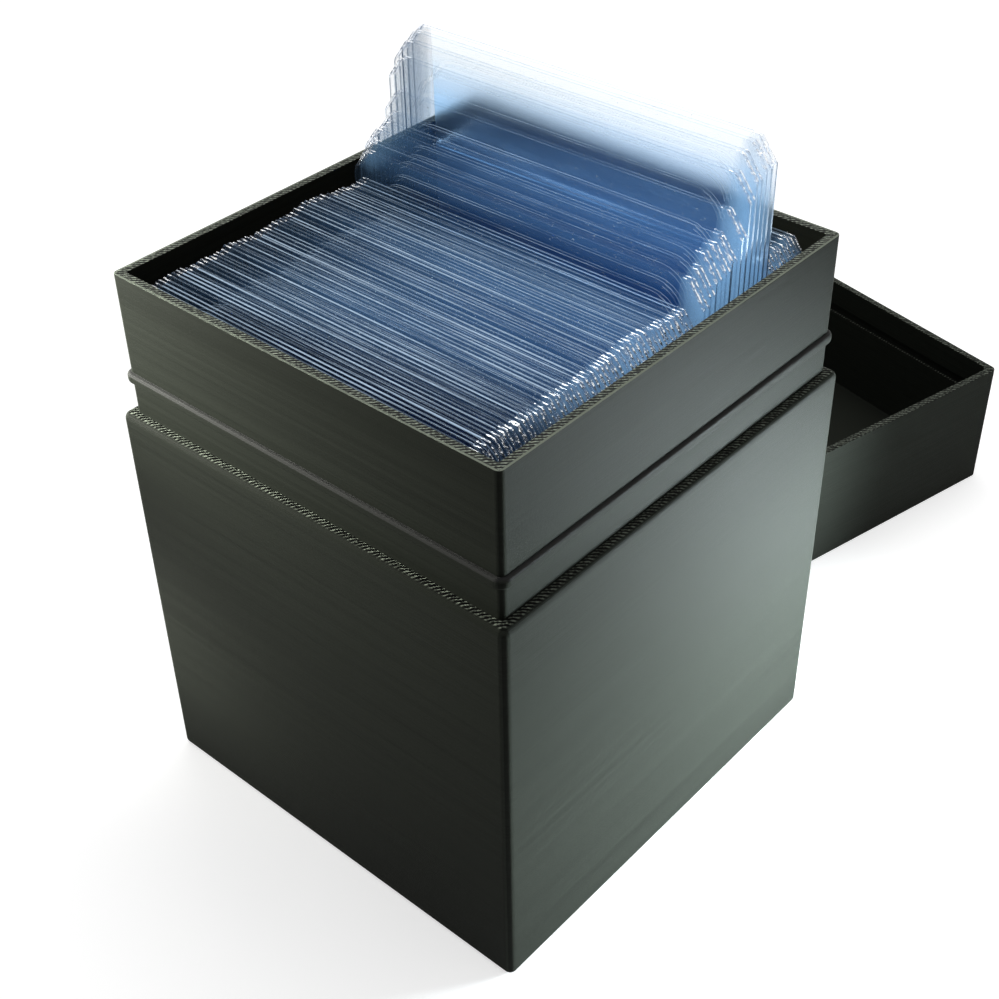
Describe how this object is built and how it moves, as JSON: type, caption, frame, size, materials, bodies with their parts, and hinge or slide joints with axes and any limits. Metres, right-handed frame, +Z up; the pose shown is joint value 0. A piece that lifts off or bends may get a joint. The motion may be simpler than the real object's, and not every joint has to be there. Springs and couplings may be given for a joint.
{
  "type": "trading card box",
  "caption": "Tall square box with a collar, a snap bead and a push-on lid, holding a stack of clear rigid card sleeves that draw straight up; the lid lies beside it.",
  "frame": {"origin": "centre of the box's base, on the surface that it stands on", "axes": "+Z up; +X along a sleeve's width, to the right as the stack is read from its front; +Y towards the back of the stack and the lid that lies behind it"},
  "size_m": [0.113, 0.2, 0.1282],
  "materials": {
    "printed_plastic": "satin black, with the fine level lines of 3-D printing",
    "sleeve_plastic": "clear, slightly blue rigid PVC, glossy, with fine scratches"
  },
  "bodies": {
    "box": {"box_body": "printed_plastic"},
    "lid": {"lid": "printed_plastic"},
    "sleeve_01": {"card_sleeve_01": "sleeve_plastic"},
    "sleeve_02": {"card_sleeve_02": "sleeve_plastic"},
    "sleeve_03": {"card_sleeve_03": "sleeve_plastic"},
    "sleeve_04": {"card_sleeve_04": "sleeve_plastic"},
    "sleeve_05": {"card_sleeve_05": "sleeve_plastic"},
    "sleeve_06": {"card_sleeve_06": "sleeve_plastic"},
    "sleeve_07": {"card_sleeve_07": "sleeve_plastic"},
    "sleeve_08": {"card_sleeve_08": "sleeve_plastic"},
    "sleeve_09": {"card_sleeve_09": "sleeve_plastic"},
    "sleeve_10": {"card_sleeve_10": "sleeve_plastic"},
    "sleeve_11": {"card_sleeve_11": "sleeve_plastic"},
    "sleeve_12": {"card_sleeve_12": "sleeve_plastic"},
    "sleeve_13": {"card_sleeve_13": "sleeve_plastic"},
    "sleeve_14": {"card_sleeve_14": "sleeve_plastic"},
    "sleeve_15": {"card_sleeve_15": "sleeve_plastic"},
    "sleeve_16": {"card_sleeve_16": "sleeve_plastic"},
    "sleeve_17": {"card_sleeve_17": "sleeve_plastic"},
    "sleeve_18": {"card_sleeve_18": "sleeve_plastic"},
    "sleeve_19": {"card_sleeve_19": "sleeve_plastic"},
    "sleeve_20": {"card_sleeve_20": "sleeve_plastic"},
    "sleeve_21": {"card_sleeve_21": "sleeve_plastic"},
    "sleeve_22": {"card_sleeve_22": "sleeve_plastic"},
    "sleeve_23": {"card_sleeve_23": "sleeve_plastic"},
    "sleeve_24": {"card_sleeve_24": "sleeve_plastic"},
    "sleeve_25": {"card_sleeve_25": "sleeve_plastic"},
    "sleeve_26": {"card_sleeve_26": "sleeve_plastic"},
    "sleeve_27": {"card_sleeve_27": "sleeve_plastic"},
    "sleeve_28": {"card_sleeve_28": "sleeve_plastic"},
    "sleeve_29": {"card_sleeve_29": "sleeve_plastic"},
    "sleeve_30": {"card_sleeve_30": "sleeve_plastic"},
    "sleeve_31": {"card_sleeve_31": "sleeve_plastic"},
    "sleeve_32": {"card_sleeve_32": "sleeve_plastic"},
    "sleeve_33": {"card_sleeve_33": "sleeve_plastic"},
    "sleeve_34": {"card_sleeve_34": "sleeve_plastic"},
    "sleeve_35": {"card_sleeve_35": "sleeve_plastic"},
    "sleeve_36": {"card_sleeve_36": "sleeve_plastic"},
    "sleeve_37": {"card_sleeve_37": "sleeve_plastic"},
    "sleeve_38": {"card_sleeve_38": "sleeve_plastic"},
    "sleeve_39": {"card_sleeve_39": "sleeve_plastic"},
    "sleeve_40": {"card_sleeve_40": "sleeve_plastic"},
    "sleeve_41": {"card_sleeve_41": "sleeve_plastic"},
    "sleeve_42": {"card_sleeve_42": "sleeve_plastic"},
    "sleeve_43": {"card_sleeve_43": "sleeve_plastic"},
    "sleeve_44": {"card_sleeve_44": "sleeve_plastic"},
    "sleeve_45": {"card_sleeve_45": "sleeve_plastic"}
  },
  "joints": [
    {"name": "lid_lift", "type": "slide", "parent": "box", "child": "lid", "axis": [0, 0, 1], "range_m": [0, 0.16]},
    {"name": "sleeve_01_draw", "type": "slide", "parent": "box", "child": "sleeve_01", "axis": [0, 0, 1], "range_m": [0, 0.1056]},
    {"name": "sleeve_02_draw", "type": "slide", "parent": "box", "child": "sleeve_02", "axis": [0, 0, 1], "range_m": [0, 0.1056]},
    {"name": "sleeve_03_draw", "type": "slide", "parent": "box", "child": "sleeve_03", "axis": [0, 0, 1], "range_m": [-0.00041, 0.10519]},
    {"name": "sleeve_04_draw", "type": "slide", "parent": "box", "child": "sleeve_04", "axis": [0, 0, 1], "range_m": [-0.00026, 0.10534]},
    {"name": "sleeve_05_draw", "type": "slide", "parent": "box", "child": "sleeve_05", "axis": [0, 0, 1], "range_m": [-0.00012, 0.10548]},
    {"name": "sleeve_06_draw", "type": "slide", "parent": "box", "child": "sleeve_06", "axis": [0, 0, 1], "range_m": [0, 0.1056]},
    {"name": "sleeve_07_draw", "type": "slide", "parent": "box", "child": "sleeve_07", "axis": [0, 0, 1], "range_m": [0, 0.1056]},
    {"name": "sleeve_08_draw", "type": "slide", "parent": "box", "child": "sleeve_08", "axis": [0, 0, 1], "range_m": [0, 0.1056]},
    {"name": "sleeve_09_draw", "type": "slide", "parent": "box", "child": "sleeve_09", "axis": [0, 0, 1], "range_m": [0, 0.1056]},
    {"name": "sleeve_10_draw", "type": "slide", "parent": "box", "child": "sleeve_10", "axis": [0, 0, 1], "range_m": [-0.00039, 0.10521]},
    {"name": "sleeve_11_draw", "type": "slide", "parent": "box", "child": "sleeve_11", "axis": [0, 0, 1], "range_m": [-0.00024, 0.10536]},
    {"name": "sleeve_12_draw", "type": "slide", "parent": "box", "child": "sleeve_12", "axis": [0, 0, 1], "range_m": [-0.0001, 0.1055]},
    {"name": "sleeve_13_draw", "type": "slide", "parent": "box", "child": "sleeve_13", "axis": [0, 0, 1], "range_m": [0, 0.1056]},
    {"name": "sleeve_14_draw", "type": "slide", "parent": "box", "child": "sleeve_14", "axis": [0, 0, 1], "range_m": [0, 0.1056]},
    {"name": "sleeve_15_draw", "type": "slide", "parent": "box", "child": "sleeve_15", "axis": [0, 0, 1], "range_m": [0, 0.1056]},
    {"name": "sleeve_16_draw", "type": "slide", "parent": "box", "child": "sleeve_16", "axis": [0, 0, 1], "range_m": [-0.0005, 0.1051]},
    {"name": "sleeve_17_draw", "type": "slide", "parent": "box", "child": "sleeve_17", "axis": [0, 0, 1], "range_m": [-0.0003, 0.1053]},
    {"name": "sleeve_18_draw", "type": "slide", "parent": "box", "child": "sleeve_18", "axis": [0, 0, 1], "range_m": [-0.0002, 0.1054]},
    {"name": "sleeve_19_draw", "type": "slide", "parent": "box", "child": "sleeve_19", "axis": [0, 0, 1], "range_m": [-0.0009, 0.1047]},
    {"name": "sleeve_20_draw", "type": "slide", "parent": "box", "child": "sleeve_20", "axis": [0, 0, 1], "range_m": [-0.0011, 0.1045]},
    {"name": "sleeve_21_draw", "type": "slide", "parent": "box", "child": "sleeve_21", "axis": [0, 0, 1], "range_m": [-0.0012, 0.1044]},
    {"name": "sleeve_22_draw", "type": "slide", "parent": "box", "child": "sleeve_22", "axis": [0, 0, 1], "range_m": [-0.001, 0.1046]},
    {"name": "sleeve_23_draw", "type": "slide", "parent": "box", "child": "sleeve_23", "axis": [0, 0, 1], "range_m": [-0.0004, 0.1052]},
    {"name": "sleeve_24_draw", "type": "slide", "parent": "box", "child": "sleeve_24", "axis": [0, 0, 1], "range_m": [-0.00034, 0.10526]},
    {"name": "sleeve_25_draw", "type": "slide", "parent": "box", "child": "sleeve_25", "axis": [0, 0, 1], "range_m": [-0.0002, 0.1054]},
    {"name": "sleeve_26_draw", "type": "slide", "parent": "box", "child": "sleeve_26", "axis": [0, 0, 1], "range_m": [-0.00005, 0.10555]},
    {"name": "sleeve_27_draw", "type": "slide", "parent": "box", "child": "sleeve_27", "axis": [0, 0, 1], "range_m": [0, 0.1056]},
    {"name": "sleeve_28_draw", "type": "slide", "parent": "box", "child": "sleeve_28", "axis": [0, 0, 1], "range_m": [0, 0.1056]},
    {"name": "sleeve_29_draw", "type": "slide", "parent": "box", "child": "sleeve_29", "axis": [0, 0, 1], "range_m": [-0.005, 0.1006]},
    {"name": "sleeve_30_draw", "type": "slide", "parent": "box", "child": "sleeve_30", "axis": [0, 0, 1], "range_m": [-0.0062, 0.0994]},
    {"name": "sleeve_31_draw", "type": "slide", "parent": "box", "child": "sleeve_31", "axis": [0, 0, 1], "range_m": [-0.008, 0.0976]},
    {"name": "sleeve_32_draw", "type": "slide", "parent": "box", "child": "sleeve_32", "axis": [0, 0, 1], "range_m": [-0.0088, 0.0968]},
    {"name": "sleeve_33_draw", "type": "slide", "parent": "box", "child": "sleeve_33", "axis": [0, 0, 1], "range_m": [-0.0098, 0.0958]},
    {"name": "sleeve_34_draw", "type": "slide", "parent": "box", "child": "sleeve_34", "axis": [0, 0, 1], "range_m": [-0.0134, 0.0922]},
    {"name": "sleeve_35_draw", "type": "slide", "parent": "box", "child": "sleeve_35", "axis": [0, 0, 1], "range_m": [-0.0189, 0.0867]},
    {"name": "sleeve_36_draw", "type": "slide", "parent": "box", "child": "sleeve_36", "axis": [0, 0, 1], "range_m": [-0.0214, 0.0842]},
    {"name": "sleeve_37_draw", "type": "slide", "parent": "box", "child": "sleeve_37", "axis": [0, 0, 1], "range_m": [-0.0227, 0.0829]},
    {"name": "sleeve_38_draw", "type": "slide", "parent": "box", "child": "sleeve_38", "axis": [0, 0, 1], "range_m": [-0.023, 0.0826]},
    {"name": "sleeve_39_draw", "type": "slide", "parent": "box", "child": "sleeve_39", "axis": [0, 0, 1], "range_m": [-0.00016, 0.10544]},
    {"name": "sleeve_40_draw", "type": "slide", "parent": "box", "child": "sleeve_40", "axis": [0, 0, 1], "range_m": [-0.00001, 0.10559]},
    {"name": "sleeve_41_draw", "type": "slide", "parent": "box", "child": "sleeve_41", "axis": [0, 0, 1], "range_m": [0, 0.1056]},
    {"name": "sleeve_42_draw", "type": "slide", "parent": "box", "child": "sleeve_42", "axis": [0, 0, 1], "range_m": [0, 0.1056]},
    {"name": "sleeve_43_draw", "type": "slide", "parent": "box", "child": "sleeve_43", "axis": [0, 0, 1], "range_m": [0, 0.1056]},
    {"name": "sleeve_44_draw", "type": "slide", "parent": "box", "child": "sleeve_44", "axis": [0, 0, 1], "range_m": [-0.00043, 0.10517]},
    {"name": "sleeve_45_draw", "type": "slide", "parent": "box", "child": "sleeve_45", "axis": [0, 0, 1], "range_m": [-0.00028, 0.10532]}
  ]
}
